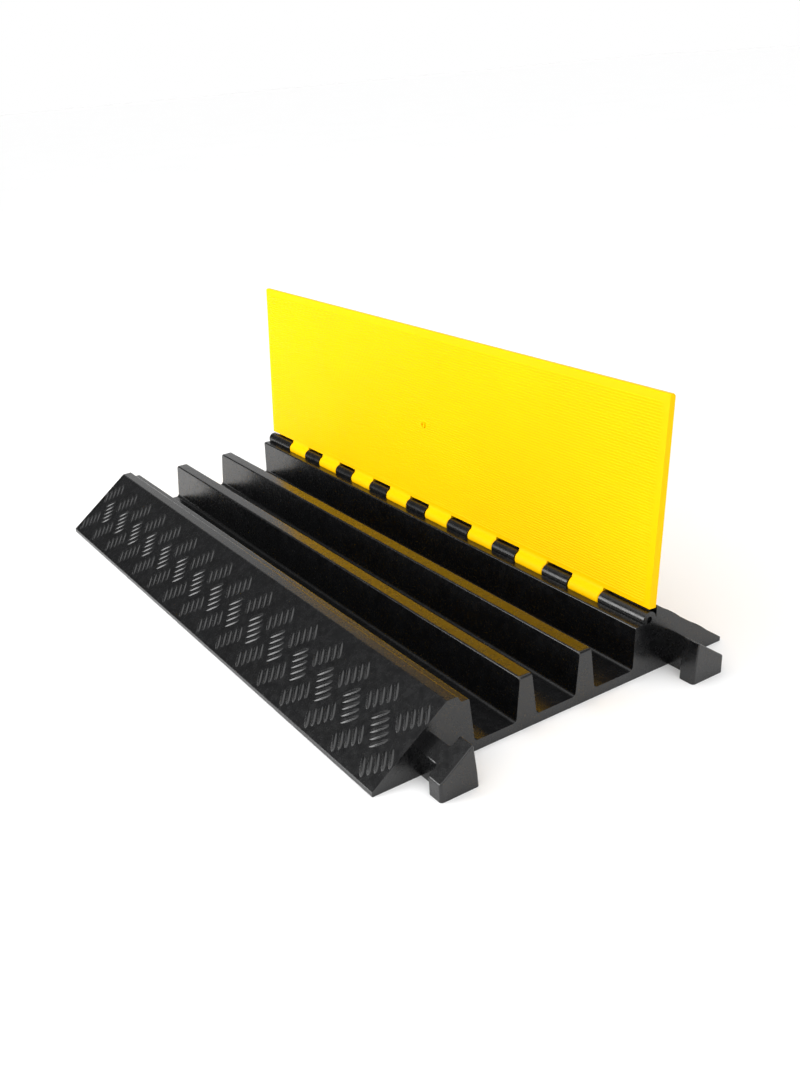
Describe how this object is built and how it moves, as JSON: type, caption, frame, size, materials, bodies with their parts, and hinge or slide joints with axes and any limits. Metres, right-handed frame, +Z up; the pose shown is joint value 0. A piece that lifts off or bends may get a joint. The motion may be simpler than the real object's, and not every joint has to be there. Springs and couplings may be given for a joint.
{
  "type": "cable protector ramp",
  "caption": "Low rubber ramp with three open channels for cables, a hinged flat lid over them, sloping treaded sides, and T-shaped end connectors that hook into the next unit.",
  "frame": {"origin": "middle of the base's footprint without its connectors, on the ground", "axes": "+X along the channels towards the male connectors, +Y across them towards the hinge, +Z up"},
  "size_m": [0.951, 0.5, 0.327],
  "materials": {
    "base_rubber": "moulded black rubber, satin",
    "lid_plastic": "moulded yellow polyvinyl chloride, satin",
    "rod_steel": "drawn steel rod"
  },
  "bodies": {
    "base": {"channel_floor": "base_rubber", "front_divider": "base_rubber", "rear_divider": "base_rubber", "front_channel_wall": "base_rubber", "rear_channel_wall": "base_rubber", "hinge_bed": "base_rubber", "front_ramp": "base_rubber", "rear_ramp": "base_rubber", "front_socket": "base_rubber", "rear_socket": "base_rubber", "front_connector": "base_rubber", "rear_connector": "base_rubber", "base_barrel_1": "base_rubber", "base_barrel_2": "base_rubber", "base_barrel_3": "base_rubber", "base_barrel_4": "base_rubber", "base_barrel_5": "base_rubber", "base_barrel_6": "base_rubber", "base_barrel_7": "base_rubber", "base_barrel_8": "base_rubber", "base_barrel_9": "base_rubber", "hinge_rod": "rod_steel"},
    "lid": {"lid": "lid_plastic"}
  },
  "joints": [
    {"name": "lid_hinge", "type": "hinge", "parent": "base", "child": "lid", "pos_m": [0, 0.1285, 0.07], "axis": [1, 0, 0], "range_deg": [0, 93.9]}
  ]
}
